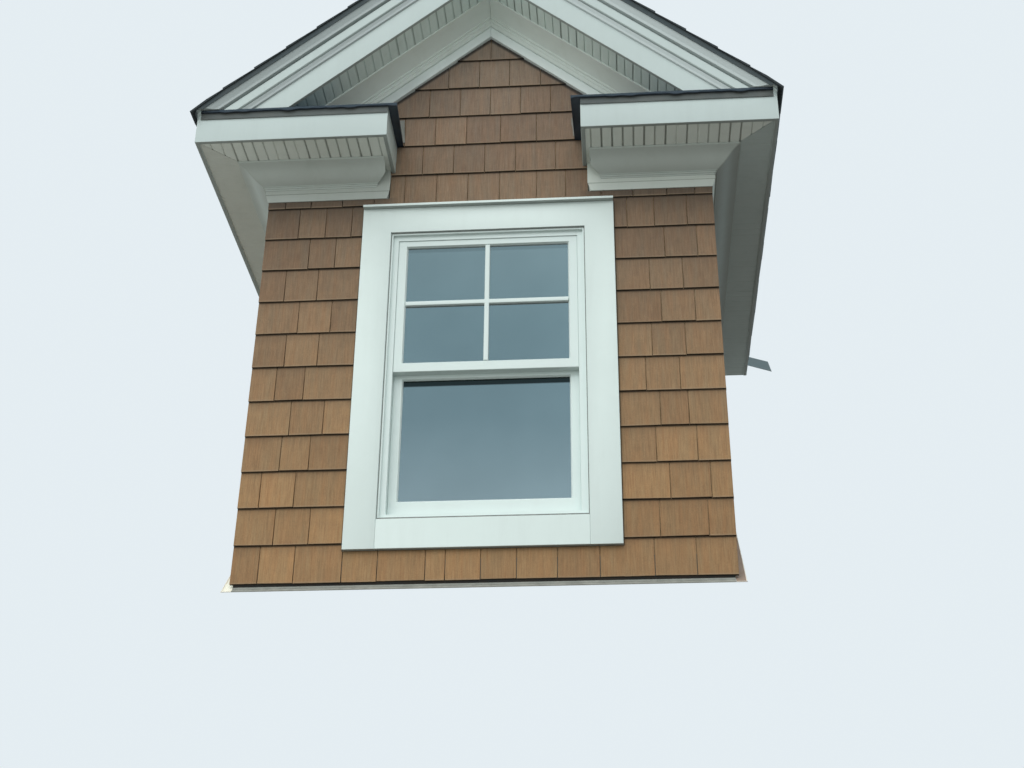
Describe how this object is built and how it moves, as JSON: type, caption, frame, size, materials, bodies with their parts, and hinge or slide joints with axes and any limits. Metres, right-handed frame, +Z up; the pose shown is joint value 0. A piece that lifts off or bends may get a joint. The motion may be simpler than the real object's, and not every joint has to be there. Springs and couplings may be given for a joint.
{
  "type": "gabled roof dormer with a double-hung window",
  "caption": "Shingled gable dormer with boxed cornice returns, moulded rake and a double-hung window, seated on a sloping main roof.",
  "frame": {"origin": "middle of the front sole plate's sloping underside, on the main roof's plane", "axes": "+X to the right seen from the front, +Y back into the main roof, +Z up"},
  "size_m": [3.102, 4.0254, 3.6894],
  "materials": {
    "framing_lumber": "sawn softwood lumber",
    "sheathing": "plywood",
    "cedar_shingle": "brown stained straight-butt shingles with vertical grain",
    "white_trim": "white painted boards and mouldings",
    "soffit_panel": "grooved off-white panel",
    "window_white": "white window frame, satin",
    "window_glass": "clear glass reflecting a pale sky",
    "roof_shingle": "dark mineral-surfaced roof shingles",
    "black_membrane": "black roofing membrane and drip edge",
    "weathered_metal": "dull grey weathered sheet",
    "grey_metal": "grey painted drip edge, dull"
  },
  "bodies": {
    "root": {"apron_flashing": "weathered_metal", "bottom_casing": "white_trim", "cheek_sheathing": "sheathing", "cheek_shingles": "cedar_shingle", "cheek_sole_plates": "framing_lumber", "cheek_studs": "framing_lumber", "cheek_top_plates": "framing_lumber", "drip_cap": "white_trim", "eave_drips": "black_membrane", "eave_fascias": "white_trim", "eave_friezes": "white_trim", "eave_soffits": "soffit_panel", "front_sheathing": "sheathing", "front_shingles": "cedar_shingle", "front_sole_plate": "framing_lumber", "front_studs": "framing_lumber", "front_tie_plate": "framing_lumber", "gable_friezes": "white_trim", "head_casing": "white_trim", "lower_sash": "window_white", "rafters": "framing_lumber", "rake_boards": "white_trim", "rake_drips": "black_membrane", "rake_mouldings": "white_trim", "rake_soffits": "soffit_panel", "return_drips": "grey_metal", "return_ends": "white_trim", "return_fascias": "white_trim", "return_friezes": "white_trim", "return_lookouts": "framing_lumber", "return_roofs": "black_membrane", "return_soffits": "soffit_panel", "ridge_board": "framing_lumber", "ridge_cap": "roof_shingle", "roof_decks": "sheathing", "roof_shingles": "roof_shingle", "side_casings": "white_trim", "side_flashings": "weathered_metal", "upper_sash": "window_white", "valley_flashings": "black_membrane", "valley_plates": "framing_lumber", "window_frame": "window_white", "window_header": "framing_lumber", "window_panes": "window_glass", "window_sill_plate": "framing_lumber"}
  },
  "joints": []
}
